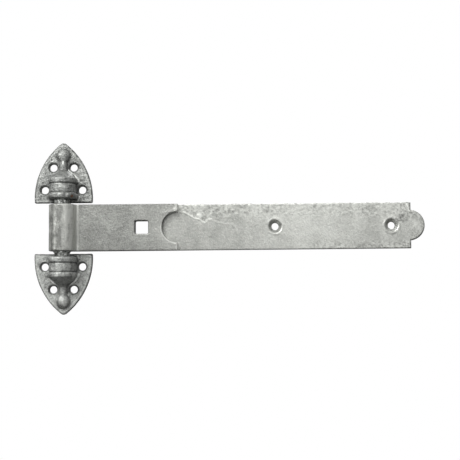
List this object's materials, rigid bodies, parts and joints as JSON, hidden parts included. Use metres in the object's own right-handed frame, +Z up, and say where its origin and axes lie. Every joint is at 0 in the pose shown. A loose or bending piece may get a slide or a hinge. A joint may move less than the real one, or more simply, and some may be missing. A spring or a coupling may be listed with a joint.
{
  "type": "t hinge",
  "caption": "Heavy galvanised band hinge: a folded strap turns on a welded pin between cast screw-on cups, for hanging a gate or shed door on a post.",
  "frame": {"origin": "on the mounting plane, behind the pin's axis, at the middle of the knuckle", "axes": "+Z up along the pin, +X out along the strap from the pin, +Y into the post and the gate, so that the front faces -Y"},
  "size_m": [0.3365, 0.0238, 0.1488],
  "materials": {
    "galvanised_strap": "hot-dip galvanised flat bar, satin, with zinc runs and a mottled grain",
    "galvanised_casting": "hot-dip galvanised casting, dull grey with a rough sand-cast skin",
    "galvanised_pin": "galvanised round bar, dull where it turns in the cups",
    "galvanised_weld": "lumpy weld metal under zinc"
  },
  "bodies": {
    "lower_cup": {"lower_cup": "galvanised_casting"},
    "strap": {"strap": "galvanised_strap", "pin": "galvanised_pin", "upper_pin_weld": "galvanised_weld", "lower_pin_weld": "galvanised_weld"},
    "upper_cup": {"upper_cup": "galvanised_casting"}
  },
  "joints": [
    {"name": "strap_swing", "type": "hinge", "parent": "lower_cup", "child": "strap", "pos_m": [0, -0.0113, 0], "axis": [0, 0, -1], "range_deg": [0, 180]},
    {"name": "upper_cup_lift", "type": "slide", "parent": "lower_cup", "child": "upper_cup", "axis": [0, 0, 1], "range_m": [0, 0.016]}
  ]
}
